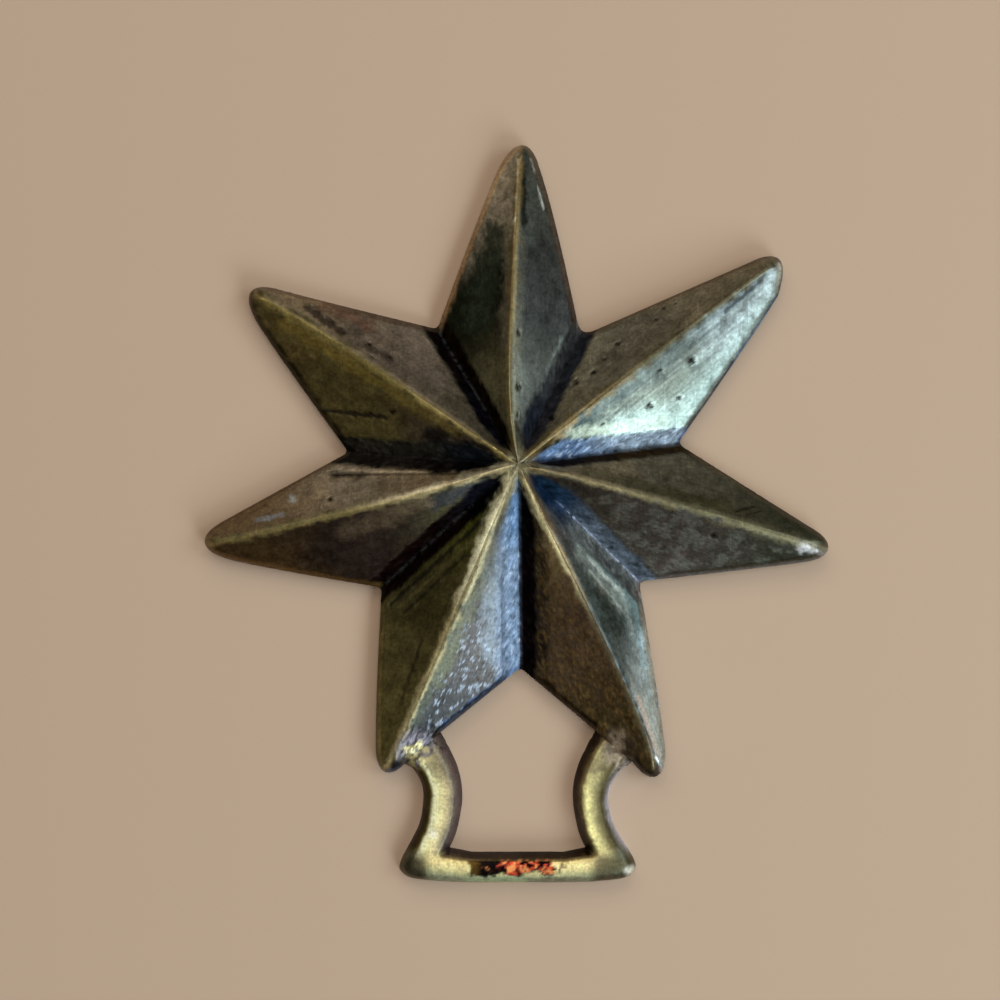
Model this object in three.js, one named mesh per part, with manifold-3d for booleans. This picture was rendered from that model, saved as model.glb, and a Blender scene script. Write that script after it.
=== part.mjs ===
// A horse brass: a seven-rayed star with its strap hanger, cast in one piece of brass.
// Millimetres, +Z up. It lies on its back, with the hanger towards -Y and the top ray towards +Y.
// The origin is under the middle of its box, on the plane of the flat rim that it lies on.
import * as THREE from "three";
import { mergeVertices } from "three/addons/utils/BufferGeometryUtils.js";
import Module from "manifold-3d";

const wasm = await Module();
wasm.setup();

// ---- driving dimensions ----------------------------------------------------------------------
const HUB_HEIGHT = 8.4; // where the seven ridges meet
const RIM_HEIGHT = 2.2; // top of the edge round the rays
const WALL_HEIGHT = 0.8; // the edge is upright to here, and leans in above
const EDGE_LEAN = 0.65; // how far it leans in
const RIDGE_POWER = 1.8; // above 1, a ridge stays high and drops near its tip
const LIP_POWER = 1.15; // near 1, a flank falls almost evenly beside its groove

const GROOVE_DEPTH = 0.9; // how far the groove along a valley is cut below the flanks
const GROOVE_HALF_WIDTH = 1.4; // from a valley's line to the lip of its groove
const GROOVE_FLOOR = 0.25; // share of the groove's half width that is flat
const GROOVE_START = 0.3; // share of the way out at which a groove has its full depth

const HOLLOW_SHARE = 0.83; // size of the hollow in the back, against the star
const HOLLOW_HEIGHT = 5.2; // its roof under the hub
const HOLLOW_EDGE_HEIGHT = 0.9; // its roof at its outline
const HOLLOW_LIP_POWER = 0.9; // its roof drops sooner under a groove than under a ridge

// The rays were laid out by eye, so each has its own direction and reach. Angles are in degrees
// anticlockwise from +X, and lengths are from the hub. Pairs are for the left and the right of a
// ray: shoulders are its half widths near the rounded tip, and bulges are the extra slopes with
// which the edges leave them. bow is how far the ridge bends to the left, and bowAt is the share
// of its length where it bends most. notch is the corner to the left of the ray, and round is how
// far from it the rounding of the corner starts.
const RAYS = [
  {
    angle: 37.9, reach: 40.4, shoulders: [2.0, 3.3], bulges: [0, 0.06], bow: 0.4, bowAt: 0.4,
    notch: { angle: 63.8, reach: 17.3, round: 2.0 },
  },
  {
    angle: 89.2, reach: 38.8, shoulders: [2.8, 2.2], bulges: [0.06, 0.1], bow: 1.2, bowAt: 0.25,
    notch: { angle: 120.7, reach: 19.1, round: 0.8 },
  },
  {
    angle: 147.2, reach: 38.6, shoulders: [2.8, 2.2], bulges: [0.05, -0.02], bow: -0.5, bowAt: 0.6,
    notch: { angle: 175.9, reach: 20.6, round: 0.8 },
  },
  {
    angle: 194.2, reach: 39.2, shoulders: [2.9, 2.1], bulges: [0.05, 0], bow: 0.6, bowAt: 0.45,
    notch: { angle: 222.2, reach: 22.3, round: 0.6 },
  },
  {
    angle: 246.7, reach: 40.7, shoulders: [2.1, 2.5], bulges: [0, 0.05], bow: 0.1, bowAt: 0.5,
    notch: { angle: 270.7, reach: 24.7, round: 0.8 },
  },
  {
    angle: 294.0, reach: 41.5, shoulders: [2.4, 2.0], bulges: [0.04, 0], bow: 1.0, bowAt: 0.65,
    notch: { angle: 316.0, reach: 20.5, round: 0.8 },
  },
  {
    angle: 344.7, reach: 39.1, shoulders: [2.05, 2.5], bulges: [0, 0.02], bow: 0.4, bowAt: 0.4,
    notch: { angle: 367.4, reach: 19.6, round: 1.0 },
  },
];
const SHOULDER_BACK = 2.9; // how far behind a tip its shoulders are
const TIP_ROUND = 1.35; // half the width of the blunt end of a tip
const EDGE_BEND = 5; // distance over which a bulge turns into the straight edge

// The hanger's sides, from where it grows out of a ray down to the strap bar, measured from the
// hub. Its inner side is the same left and right, and the right arm is slimmer from outside.
const HANGER_HEIGHT = 3.0;
const HANGER_BEVEL = { height: 1.2, width: 0.85 }; // slope along the top of its arms and bar
const HANGER_INSIDE = [
  [11.3, -30.3], [9.3, -32.9], [7.3, -37.1], [6.75, -40.7], [7.4, -44.6], [8.3, -46.8],
];
const EAR = [[14.1, -48.0], [14.3, -49.5], [12.8, -50.5], [9.2, -50.9]];
const HANGER_OUTSIDE = {
  left: [[-14.9, -33.1], [-14.0, -36.2], [-12.6, -37.3], [-11.5, -39.9], [-12.0, -43.9]],
  right: [[14.9, -33.1], [14.0, -36.2], [12.5, -37.4], [11.1, -40.1], [11.7, -44.0]],
};
const BAR = { inside: -47.35, outside: -51.0, flat: 5.6 }; // flat is half the straight inner side

// ---- steps of the mesh -----------------------------------------------------------------------
const ROWS = 12; // from the hub to the rim
const FLANK_COLUMNS = 6; // from a ridge to the lip of a groove
const COLUMN_POWER = 2; // above 1, the columns stand closer near a ridge and round its tip
const CURVE_STEPS = 14; // along each side of an arm

const brass = new THREE.MeshStandardMaterial({ color: 0x8a7a4a, roughness: 0.35, metalness: 1 });

const polar = (angle, reach) =>
  new THREE.Vector2(reach, 0).rotateAround(new THREE.Vector2(), THREE.MathUtils.degToRad(angle));

// Half of a ray's outline, from its tip to the notch beside it. side is 1 for the left half.
function halfEdge(ray, notch, side) {
  const tip = polar(ray.angle, ray.reach);
  const back = polar(ray.angle + 180, 1);
  const out = polar(ray.angle + 90 * side, 1);
  const at = (along, across) => tip.clone().addScaledVector(back, along).addScaledVector(out, across);
  const hand = side > 0 ? 0 : 1;
  const width = ray.shoulders[hand];
  const shoulder = at(SHOULDER_BACK, width);
  const corner = polar(notch.angle, notch.reach);
  const run = corner.clone().sub(tip);
  const slope = (run.dot(out) - width) / (run.dot(back) - SHOULDER_BACK) + ray.bulges[hand];
  const bend = at(SHOULDER_BACK + EDGE_BEND, width + EDGE_BEND * slope);
  const roundStart = corner.clone().add(bend.clone().sub(corner).setLength(notch.round));
  const outwards = polar(notch.angle, 1);
  const roundHeight = roundStart.clone().sub(corner).dot(outwards) / 2;
  const middle = corner.clone().addScaledVector(outwards, roundHeight);
  const edge = new THREE.CurvePath();
  edge.add(new THREE.QuadraticBezierCurve(tip, at(0, TIP_ROUND), shoulder));
  edge.add(new THREE.QuadraticBezierCurve(shoulder, bend, roundStart));
  edge.add(new THREE.QuadraticBezierCurve(roundStart, roundStart.clone().lerp(corner, 0.5), middle));
  return edge;
}

// Distance from the hub to the line that touches the outline at q.
function tangentDistance(edge, q) {
  const place = edge.getPoint(q);
  return Math.abs(place.cross(edge.getTangent(q)));
}

// How far to the left of its straight line a ridge runs, at share r of its length.
function ridgeBow(ray, r) {
  const skew = Math.log(0.5) / Math.log(ray.bowAt);
  return ray.bow * Math.sin(Math.PI * Math.pow(r, skew));
}

// A line over the face, from the hub to the outline. across says where it lies on its half of
// the ray: 0 is the ridge, 1 the lip of the groove and 2 the valley.
function faceLine(shape, ray, notch, side, across) {
  const edge = halfEdge(ray, notch, side);
  const left = polar(ray.angle + 90, 1);
  const spread = Math.abs(edge.getTangent(1).cross(polar(notch.angle, 1))) * edge.getLength();
  const flank = Math.min(across, 1);
  const groove = Math.max(across - 1, 0);
  const power = THREE.MathUtils.lerp(RIDGE_POWER, shape.lipPower, flank);

  const shareOfEdge = (r) => {
    const lip = Math.max(0.35, 1 - GROOVE_HALF_WIDTH / Math.max(r * spread, 0.01));
    return flank * lip + groove * (1 - lip);
  };
  return {
    foot: edge.getPoint(shareOfEdge(1)).multiplyScalar(shape.share),
    at(r) {
      const q = shareOfEdge(r);
      const lean = 1 - shape.lean / tangentDistance(edge, q);
      const place = edge.getPoint(q).multiplyScalar(r * lean * shape.share);
      place.addScaledVector(left, ridgeBow(ray, r) * Math.pow(1 - q, 1.5));
      const cut = Math.min(1, groove / (1 - GROOVE_FLOOR)) * Math.min(1, r / GROOVE_START);
      const height = shape.rim + (shape.hub - shape.rim) * (1 - Math.pow(r, power));
      return [place.x, place.y, height - shape.groove * cut];
    },
  };
}

// All such lines, anticlockwise round the hub, from each valley over a ridge to the next valley.
function faceLines(shape) {
  const floor = 2 - GROOVE_FLOOR;
  const flank = Array.from({ length: FLANK_COLUMNS }, (_, n) => ((n + 1) / FLANK_COLUMNS) ** COLUMN_POWER);
  return RAYS.flatMap((ray, i) => {
    const right = RAYS.at(i - 1).notch;
    return [
      ...[2, floor, ...flank.toReversed()].map((across) => faceLine(shape, ray, right, -1, across)),
      ...[0, ...flank, floor].map((across) => faceLine(shape, ray, ray.notch, 1, across)),
    ];
  });
}

// A closed solid under such a face: rings of points from the hub outwards and down to its foot.
function starSolid(shape) {
  const lines = faceLines(shape);
  const rings = [];
  for (let row = 1; row <= ROWS; row++) rings.push(lines.map((line) => line.at(row / ROWS)));
  for (const height of shape.feet) rings.push(lines.map(({ foot }) => [foot.x, foot.y, height]));
  const positions = [[0, 0, shape.hub], ...rings.flat(), [0, 0, shape.feet.at(-1)]];
  const count = lines.length;
  const bottom = positions.length - 1;
  const point = (ring, n) => 1 + ring * count + (n % count);
  const index = [];
  for (let n = 0; n < count; n++) {
    index.push(0, point(0, n), point(0, n + 1));
    for (let ring = 0; ring < rings.length - 1; ring++) {
      const [a, b] = [point(ring, n), point(ring, n + 1)];
      const [c, d] = [point(ring + 1, n), point(ring + 1, n + 1)];
      index.push(a, c, d, a, d, b);
    }
    index.push(bottom, point(rings.length - 1, n + 1), point(rings.length - 1, n));
  }
  const geometry = new THREE.BufferGeometry();
  geometry.setAttribute("position", new THREE.Float32BufferAttribute(positions.flat(), 3));
  geometry.setIndex(index);
  return geometry;
}

// The hanger: two curved arms and the strap bar, with sloping top edges and a flat back.
function hanger() {
  const curve = (points) =>
    new THREE.SplineCurve(points.map(([x, y]) => new THREE.Vector2(x, y))).getPoints(CURVE_STEPS);
  const mirrored = (points) => points.map(([x, y]) => [-x, y]);
  const outline = [
    ...curve(HANGER_INSIDE),
    new THREE.Vector2(BAR.flat, BAR.inside),
    new THREE.Vector2(-BAR.flat, BAR.inside),
    ...curve(mirrored(HANGER_INSIDE)).reverse(),
    ...curve([...HANGER_OUTSIDE.left, ...mirrored(EAR)]),
    new THREE.Vector2(-BAR.flat, BAR.outside),
    new THREE.Vector2(BAR.flat, BAR.outside),
    ...curve([...HANGER_OUTSIDE.right, ...EAR]).reverse(),
  ];
  const { height, width } = HANGER_BEVEL;
  return new THREE.ExtrudeGeometry(new THREE.Shape(outline), {
    depth: HANGER_HEIGHT - height,
    bevelThickness: height,
    bevelSize: width,
    bevelOffset: -width,
    bevelSegments: 2,
  });
}

function toManifold(source) {
  const bare = source.clone();
  bare.deleteAttribute("normal");
  bare.deleteAttribute("uv");
  const merged = mergeVertices(bare, 1e-4);
  const vertProperties = new Float32Array(merged.attributes.position.array);
  const triVerts = new Uint32Array(merged.index.array);
  return new wasm.Manifold(new wasm.Mesh({ numProp: 3, vertProperties, triVerts }));
}

function toGeometry(solid) {
  const mesh = solid.getMesh();
  const geometry = new THREE.BufferGeometry();
  geometry.setAttribute("position", new THREE.Float32BufferAttribute(mesh.vertProperties, mesh.numProp));
  geometry.setIndex([...mesh.triVerts]);
  geometry.computeVertexNormals();
  return geometry;
}

// ---- the casting -----------------------------------------------------------------------------
const face = {
  hub: HUB_HEIGHT,
  rim: RIM_HEIGHT,
  lipPower: LIP_POWER,
  groove: GROOVE_DEPTH,
  lean: EDGE_LEAN,
  share: 1,
  feet: [WALL_HEIGHT, 0],
};
const hollow = {
  hub: HOLLOW_HEIGHT,
  rim: HOLLOW_EDGE_HEIGHT,
  lipPower: HOLLOW_LIP_POWER,
  groove: 0,
  lean: 0,
  share: HOLLOW_SHARE,
  feet: [-1],
};
const belowFloor = new THREE.BoxGeometry(60, 60, 4).translate(0, -40, -2);
const arms = toManifold(hanger()).subtract(toManifold(belowFloor));
const casting = toGeometry(toManifold(starSolid(face)).add(arms).subtract(toManifold(starSolid(hollow))));

casting.computeBoundingBox();
const middle = casting.boundingBox.getCenter(new THREE.Vector3());
casting.translate(-middle.x, -middle.y, 0);

const star = new THREE.Mesh(casting, brass);
star.name = "star_brass";
const horseBrass = new THREE.Group();
horseBrass.add(star);
export default horseBrass;
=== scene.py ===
# %% [markdown]
# # A star horse brass
#
# A horse brass is a flat ornament that hangs on a harness strap. This one is a star with seven
# ridged rays and a loop at its foot, and all of it was poured into one sand mould, so in Blender
# it is one piece of one finish. The lesson goes from rough to fine: a simple fan becomes the star,
# a flat grid becomes the loop, both are fused, and then the casting is worn, grained and stained,
# and part of its light and shade is painted on it as well.

import math

import bpy
import numpy as np
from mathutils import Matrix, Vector, kdtree, noise


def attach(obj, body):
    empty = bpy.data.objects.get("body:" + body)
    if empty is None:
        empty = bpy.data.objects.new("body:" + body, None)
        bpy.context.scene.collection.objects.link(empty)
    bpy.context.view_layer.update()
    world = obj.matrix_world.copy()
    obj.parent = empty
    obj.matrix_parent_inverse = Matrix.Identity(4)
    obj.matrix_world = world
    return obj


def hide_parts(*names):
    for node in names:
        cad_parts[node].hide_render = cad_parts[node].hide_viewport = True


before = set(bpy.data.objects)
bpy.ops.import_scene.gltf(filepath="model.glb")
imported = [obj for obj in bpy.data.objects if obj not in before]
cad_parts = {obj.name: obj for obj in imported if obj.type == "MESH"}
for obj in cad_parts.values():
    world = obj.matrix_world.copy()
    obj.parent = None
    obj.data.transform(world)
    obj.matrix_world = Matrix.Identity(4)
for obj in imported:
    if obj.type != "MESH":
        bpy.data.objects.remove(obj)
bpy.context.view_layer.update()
MM = 0.001
NODE = "star_brass"
node_points = np.array([vertex.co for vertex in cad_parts[NODE].data.vertices])
hub = node_points[node_points[:, 2].argmax()]
HUB_HEIGHT = hub[2] / MM
print("hub in mm:", (hub / MM).round(2))

# %% [markdown]
# ## The plan of the star
#
# The rays were drawn by eye, so no two are alike. Each row holds a ray's direction in degrees
# anticlockwise from +X and its reach from the hub in mm. `shoulders` are the half widths to its
# left and right just behind the rounded tip, and `bulges` say how much the edges belly out there.
# `bow` says how far the ridge bends to the left and at what share of its length. `notch` is the
# corner on its left: direction, reach, and how far from the corner its rounding starts.
# `grooves` are the widths of its own sides of the grooves next to it, left and right, and `worn`
# is the half width of the worn ridge near the hub and near the tip. Two ridges dip beside the hub,
# and their `saddle` says how long and how deep. A table like this is easier to correct than a drawn
# outline, because each number means something.

# %% The rays
RAYS = [
    dict(name="upper_right", angle=37.9, reach=40.4, shoulders=(2.0, 3.3), bulges=(0, 0.06),
         bow=(0.4, 0.4), notch=(63.8, 17.3, 2.0), grooves=(1.4, 1.9), worn=(0.4, 0.3)),
    dict(name="top", angle=89.2, reach=38.8, shoulders=(2.8, 2.2), bulges=(0.06, 0.1),
         bow=(1.2, 0.25), notch=(120.7, 19.1, 0.8), grooves=(1.5, 1.6), worn=(0.5, 0.45)),
    dict(name="upper_left", angle=147.2, reach=38.6, shoulders=(2.8, 2.2), bulges=(0.05, -0.02),
         bow=(-0.5, 0.6), notch=(175.9, 20.6, 0.8), grooves=(1.9, 1.5), worn=(0.45, 0.8),
         saddle=(1.7, 0.3)),
    dict(name="left", angle=194.2, reach=39.2, shoulders=(2.9, 2.1), bulges=(0.05, 0),
         bow=(0.6, 0.45), notch=(222.2, 22.3, 0.6), grooves=(1.7, 1.6), worn=(0.5, 0.6)),
    dict(name="lower_left", angle=246.7, reach=40.7, shoulders=(2.1, 2.5), bulges=(0, 0.05),
         bow=(0.1, 0.5), notch=(270.7, 24.7, 0.8), grooves=(2.3, 1.5), worn=(1.0, 0.5)),
    dict(name="lower_right", angle=294.0, reach=41.5, shoulders=(2.4, 2.0), bulges=(0.04, 0),
         bow=(1.0, 0.65), notch=(316.0, 20.5, 0.8), grooves=(2.0, 1.9), worn=(0.75, 0.6)),
    dict(name="right", angle=344.7, reach=39.1, shoulders=(2.05, 2.5), bulges=(0, 0.02),
         bow=(0.4, 0.4), notch=(367.4, 19.6, 1.0), grooves=(1.3, 2.0), worn=(0.4, 1.1),
         saddle=(3.0, 0.5)),
]
SHOULDER_BACK = 2.9
TIP_ROUND = 1.35
EDGE_BEND = 5.0
APEX = 5.0
print(len(RAYS), "rays, the longest reaches", max(ray["reach"] for ray in RAYS), "mm")

# %% Helpers for plans and outlines
def polar(angle, reach=1):
    return reach * np.array([math.cos(math.radians(angle)), math.sin(math.radians(angle))])


def cross(a, b):
    return a[..., 0] * b[..., 1] - a[..., 1] * b[..., 0]


def bezier(start, pull, end, steps=24):
    t = np.linspace(0, 1, steps)[:, None]
    return (1 - t) ** 2 * start + 2 * t * (1 - t) * pull + t ** 2 * end


def half_edge(ray, notch, side):
    """Points along one side of a ray's outline, from its tip to the notch, in mm from the hub."""
    tip, back = polar(ray["angle"], ray["reach"]), -polar(ray["angle"])
    out = polar(ray["angle"] + 90 * side)
    hand = 0 if side > 0 else 1
    width = ray["shoulders"][hand]
    shoulder = tip + back * SHOULDER_BACK + out * width
    corner = polar(*notch[:2])
    run = corner - tip
    slope = (run @ out - width) / (run @ back - SHOULDER_BACK) + ray["bulges"][hand]
    bend = shoulder + EDGE_BEND * (back + slope * out)
    start = corner + (bend - corner) / np.linalg.norm(bend - corner) * notch[2]
    middle = corner + polar(notch[0]) * ((start - corner) @ polar(notch[0])) / 2
    return np.concatenate([
        bezier(tip, tip + out * TIP_ROUND, shoulder),
        bezier(shoulder, bend, start, 48)[1:],
        bezier(start, (start + corner) / 2, middle, 12)[1:],
    ])


def along(points, share):
    """Places at shares 0 to 1 of a polyline's length."""
    steps = np.linalg.norm(np.diff(points, axis=0), axis=1)
    reached = np.concatenate([[0], steps.cumsum()]) / steps.sum()
    return np.stack([np.interp(share, reached, points[:, k]) for k in (0, 1)], -1)


def smooth(low, high, value):
    t = np.clip((value - low) / (high - low), 0, 1)
    return t * t * (3 - 2 * t)


HALVES = []
for i, ray in enumerate(RAYS):
    left_groove, right_groove = ray["grooves"]
    for side, notch, groove in (-1, RAYS[i - 1]["notch"], right_groove), (1, ray["notch"], left_groove):
        HALVES.append(dict(
            ray=ray, side=side, notch=notch, groove=groove, corner=polar(*notch[:2]),
            apex=polar(ray["angle"], ray["reach"] + APEX), edge=half_edge(ray, notch, side)))
print(len(HALVES), "half rays round the hub")

# %% [markdown]
# ## The relief of the face
#
# A point of the face is named by two shares on its half ray: `r`, how far out it lies between the
# hub and the straight edge, and `q`, how far round between the ridge (0) and the valley (1). The
# height follows from those two. The ridge stays high and drops near its tip, the flank falls
# evenly to the lip of the groove, and the groove is a V along the valley. Last, the ridge is
# rounded by wear. Because the height depends on the place alone, the same functions build the
# mesh, tell later which flank a point is on, and, with other numbers, hollow out the back.

# %% The relief
FACE = dict(hub=HUB_HEIGHT + 0.06, rim=2.2, lip_power=1.15, depth=0.95, wear=1.0, share=1.0,
            top=HUB_HEIGHT, feet=(0.7, 0.0))
HOLLOW = dict(hub=5.2, rim=0.9, lip_power=0.9, depth=0.0, wear=0.0, share=0.83,
              top=5.2, feet=(-1.0,))
RIDGE_POWER = 1.8
GROOVE_START = 0.15
GROOVE_SHARE = 0.6
FLANK_SLOPE = 0.45
SADDLE_WIDTH = 0.9
BOW_START = 0.07
TINY = 1e-6
# each round of the search for a place keeps a share of the old guess, so that it settles
SEARCH_ROUNDS, KEPT, MOVED = 12, 0.3, 0.7


def ridge_bow(ray, r):
    """How far the ridge lies left of its straight axis, in mm. It starts at nothing at the hub."""
    bow, bow_at = ray["bow"]
    r = np.clip(r, 0, 1)
    swing = np.sin(math.pi * r ** (math.log(0.5) / math.log(bow_at)))
    return bow * swing * (1 - np.exp(-r / BOW_START))


def gaps(half, r, q):
    """Distances in mm from the ridge and from the valley."""
    ridge = r * q * abs(cross(half["corner"], polar(half["ray"]["angle"])))
    valley = r * (1 - q) * abs(cross(half["apex"], polar(half["notch"][0])))
    return ridge, valley


def height(half, r, q, shape):
    """Heights in mm of places on one half ray, for the face or for the hollow under it."""
    ray = half["ray"]
    ridge_gap, valley_gap = gaps(half, r, q)
    span = abs(cross(half["apex"], polar(half["notch"][0])))
    beyond_hub = np.maximum(r, TINY)
    groove = np.minimum(half["groove"], GROOVE_SHARE * beyond_hub * span)
    lip = 1 - groove / (beyond_hub * span)
    power = RIDGE_POWER + (shape["lip_power"] - RIDGE_POWER) * np.clip(q / lip, 0, 1)
    z = shape["rim"] + (shape["hub"] - shape["rim"]) * (1 - r ** power)
    z = z - shape["depth"] * np.clip(1 - valley_gap / groove, 0, 1) * np.minimum(1, r / GROOVE_START)
    worn = ray["worn"][0] + (ray["worn"][1] - ray["worn"][0]) * np.clip(r, 0, 1)
    z = z - shape["wear"] * FLANK_SLOPE * np.clip(worn - ridge_gap, 0, None) ** 2 / (2 * worn)
    if "saddle" in ray:
        length, dip = ray["saddle"]
        out = r * (ray["reach"] + APEX)
        dip = dip * smooth(0, 0.5 * length, out) * (1 - smooth(0.5 * length, length, out))
        z = z - shape["wear"] * dip * np.exp(-(ridge_gap / SADDLE_WIDTH) ** 2)
    return np.minimum(z, shape["top"])


def locate(plan):
    """Half ray number and shares r and q of places given in mm from the hub."""
    number, r, q = np.zeros(len(plan), int), np.zeros(len(plan)), np.zeros(len(plan))
    straight = plan.astype(float)
    for _ in range(SEARCH_ROUNDS):
        moved = plan.astype(float)
        best = np.full(len(plan), np.inf)
        for n, half in enumerate(HALVES):
            a, b = np.linalg.solve(np.column_stack([half["apex"], half["corner"]]), straight.T)
            outside = np.maximum(np.maximum(-a, -b), 0)
            chosen = (outside < best) & (a + b > 0)
            best[chosen], number[chosen] = outside[chosen], n
            r[chosen] = (a + b)[chosen]
            q[chosen] = np.clip(b[chosen] / (a + b)[chosen], 0, 1)
        for n, half in enumerate(HALVES):
            mine = number == n
            bow = ridge_bow(half["ray"], r[mine]) * (1 - q[mine])
            moved[mine] -= polar(half["ray"]["angle"] + 90) * bow[:, None]
        straight = KEPT * straight + MOVED * moved
    return number, r, q


def heights(number, r, q, shape=FACE):
    """Heights in mm of places on any half rays."""
    z = np.zeros(len(r))
    for n, half in enumerate(HALVES):
        mine = number == n
        z[mine] = height(half, r[mine], q[mine], shape)
    return z


half_way_out = height(HALVES[1], np.array([0.5]), np.array([0.0]), FACE)
print("height half way out on a ridge:", half_way_out.round(2))

# %% [markdown]
# ## From a fan to a solid
#
# A circle of fourteen points with a triangle fan is already a crude star: its points only have to
# move to the tips and notches. Subdividing keeps the fan's sectors, so a point's two shares can be
# read from its place in them. Near the hub the rows of points run parallel to straight edges, which
# keeps the flanks flat, and towards the rim they bend into the true, rounded outline. The rim is
# then extruded down and closed. The same steps on a smaller plan make the body that hollows the
# back.

# %% Make the star and its hollow
CUTS, HOLLOW_CUTS = 91, 31
NOSE_ROUND, EDGE_ROUND = 2.2, 0.75
EDGE_TOP = 1.75
CLOSE = 1e-4
# where the middle of each arm of the loop meets its ray
JOINTS = np.array([(-12.3, -33.2), (12.3, -33.2)])


def mode(name):
    bpy.ops.object.mode_set(mode=name)


def select_only(*chosen):
    """Selects some objects and nothing else. The last one becomes the active object."""
    bpy.ops.object.select_all(action="DESELECT")
    for obj in chosen:
        obj.select_set(True)
        bpy.context.view_layer.objects.active = obj


def select_where(obj, test):
    """Selects some vertices of the object that is in edit mode."""
    bpy.ops.mesh.select_all(action="DESELECT")
    mode("OBJECT")
    chosen = np.zeros(len(obj.data.vertices), bool)
    chosen[test] = True
    obj.data.vertices.foreach_set("select", chosen)
    mode("EDIT")


def vectors(collection, field):
    flat = np.empty(len(collection) * 3, np.float32)
    collection.foreach_get(field, flat)
    return flat.reshape(-1, 3).astype(float)


def points_of(obj):
    return vectors(obj.data.vertices, "co")


def set_points(obj, points):
    obj.data.vertices.foreach_set("co", np.asarray(points, np.float32).ravel())
    obj.data.update()


def distance_to(curve, plan):
    """Distance in mm from each place to the nearest point of a densely drawn curve."""
    tree = kdtree.KDTree(len(curve))
    for n, place in enumerate(curve):
        tree.insert((*place, 0), n)
    tree.balance()
    return np.array([tree.find((*place, 0))[2] for place in plan])


def distance_to_joints(plan, shift=(0, 0)):
    """Distance in mm from each place to the nearer joint of the loop, or to a place beside it."""
    return np.linalg.norm(plan[:, None] - JOINTS - shift, axis=2).min(axis=1)


OUTLINE = np.concatenate([along(half["edge"], np.linspace(0, 1, 500)) for half in HALVES])


def round_edge(plan, z, r, q):
    """Lets the face roll over to the wall, most round a ray's nose and not where the loop joins."""
    width = EDGE_ROUND + (NOSE_ROUND - EDGE_ROUND) * np.exp(-(q / 0.06) ** 2)
    drop = np.clip(1 - distance_to(OUTLINE, plan) / width, 0, 1) ** 2.2
    away = (r > 0.5) * smooth(1.9, 3.2, distance_to_joints(plan))
    return z - np.maximum(z - EDGE_TOP, 0) * drop * away


def extrude_down():
    bpy.ops.mesh.extrude_edges_move(TRANSFORM_OT_translate={"value": (0, 0, -1)})
    mode("OBJECT")


def close_body(in_triangles=False):
    """Fills the open rim that is selected and turns every face outwards."""
    bpy.ops.mesh.edge_face_add()
    bpy.ops.mesh.select_all(action="SELECT")
    if in_triangles:
        bpy.ops.mesh.quads_convert_to_tris()
    bpy.ops.mesh.normals_make_consistent(inside=False)
    mode("OBJECT")


def star_body(name, shape, cuts):
    """A closed body with the plan of the star and one of the two reliefs, in mm."""
    bpy.ops.mesh.primitive_circle_add(vertices=len(HALVES), radius=1, fill_type="TRIFAN")
    body = bpy.context.object
    body.name = body.data.name = name
    points = points_of(body)
    rim = np.flatnonzero(np.linalg.norm(points, axis=1) > 0.5)
    order = rim[np.argsort(np.arctan2(points[rim, 1], points[rim, 0]) % (2 * math.pi))]
    tips_and_notches = [(ray["angle"], ray["reach"], *ray["notch"][:2]) for ray in RAYS]
    points[order, :2] = [polar(*place) for place in np.reshape(tips_and_notches, (-1, 2))]
    set_points(body, points)
    mode("EDIT")
    bpy.ops.mesh.select_all(action="SELECT")
    bpy.ops.mesh.subdivide(number_cuts=cuts)
    bpy.ops.mesh.normals_make_consistent(inside=False)
    mode("OBJECT")

    flat = points_of(body)[:, :2]
    plan, feet = np.zeros((len(flat), 2)), np.zeros((len(flat), 2))
    outer = np.zeros(len(flat), bool)
    for half in HALVES:
        ray = half["ray"]
        fan = np.column_stack([polar(ray["angle"], ray["reach"]), half["corner"]])
        a, b = np.linalg.solve(fan, flat.T)
        inside = (a > -CLOSE) & (b > -CLOSE) & (a + b > TINY)
        r = (a + b)[inside].clip(0, 1)
        q = (b[inside] / (a + b)[inside]).clip(0, 1)
        straight = half["apex"] + (half["corner"] - half["apex"]) * q[:, None]
        true = along(half["edge"], q)
        bend = smooth(0.5, 1, r)[:, None]
        plan[inside] = (straight * (1 - bend) + true * bend) * r[:, None]
        plan[inside] += polar(ray["angle"] + 90) * (ridge_bow(ray, r) * (1 - q))[:, None]
        feet[inside] = true
        outer[inside] = r > 1 - CLOSE
    number, r, q = locate(plan)
    z = heights(number, r, q, shape)
    if shape is FACE:
        z = round_edge(plan, z, r, q)
    set_points(body, np.column_stack([plan * shape["share"], z]))

    rim_feet = feet[outer] * shape["share"]
    mode("EDIT")
    bpy.ops.mesh.select_mode(type="VERT")
    select_where(body, outer)
    for level in shape["feet"]:
        extrude_down()
        points = points_of(body)
        points[-len(rim_feet):] = np.column_stack([rim_feet, np.full(len(rim_feet), level)])
        set_points(body, points)
        mode("EDIT")
    close_body()
    print(name, "has", len(body.data.polygons), "faces")
    return body


star = star_body("star_brass_casting", FACE, CUTS)
hollow = star_body("hollow_back", HOLLOW, HOLLOW_CUTS)

# %% [markdown]
# ## The loop for the strap
#
# The loop is a flat U of two curved arms and a bar. Its cross section is not the same everywhere:
# the inner wall is steep, the crown lies nearer the inside, and the outside rolls down gently,
# where the strap and the polishing cloth have rounded it. A grid laid between the inner and the
# outer curve follows such a section well. Each row of the grid crosses the U once.

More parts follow.
